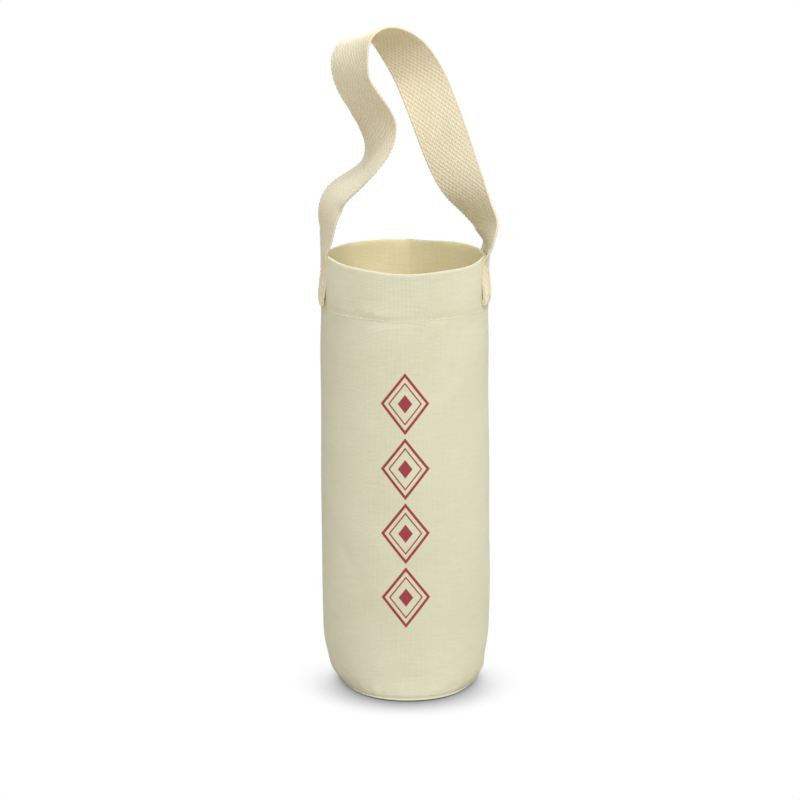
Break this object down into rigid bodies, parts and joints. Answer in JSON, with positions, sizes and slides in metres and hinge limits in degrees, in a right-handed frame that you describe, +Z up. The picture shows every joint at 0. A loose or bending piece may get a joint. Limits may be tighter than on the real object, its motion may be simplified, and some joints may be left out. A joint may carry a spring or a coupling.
{
  "type": "bottle carrier",
  "caption": "Soft tube-shaped canvas bag for one wine bottle, with a round sewn base, a turned rim hem and a webbing handle loop sewn to its sides.",
  "frame": {"origin": "middle of the round base, on the surface that the bag stands on", "axes": "+Z up to the rim and handle, +X to the right-hand sewn end of the handle, -Y to the front"},
  "size_m": [0.1098, 0.09, 0.4171],
  "materials": {
    "canvas": "natural undyed cotton canvas, matt",
    "webbing": "natural cotton webbing, plain weave with raised pips",
    "thread": "natural cotton sewing thread"
  },
  "bodies": {
    "bag": {"body_panel": "canvas", "base_disc": "canvas", "left_webbing_end": "webbing", "right_webbing_end": "webbing", "hem_stitching": "thread", "base_seam_stitching": "thread", "base_seam_overlock": "thread", "back_seam_stitching": "thread", "back_seam_overlock": "thread", "left_box_stitching": "thread", "right_box_stitching": "thread"},
    "handle": {"webbing_handle": "webbing"}
  },
  "joints": [
    {"name": "handle_swing", "type": "hinge", "parent": "bag", "child": "handle", "pos_m": [0, 0, 0.3], "axis": [1, 0, 0], "range_deg": [-90, 90], "stiffness_Nm_per_rad": 0.03}
  ]
}
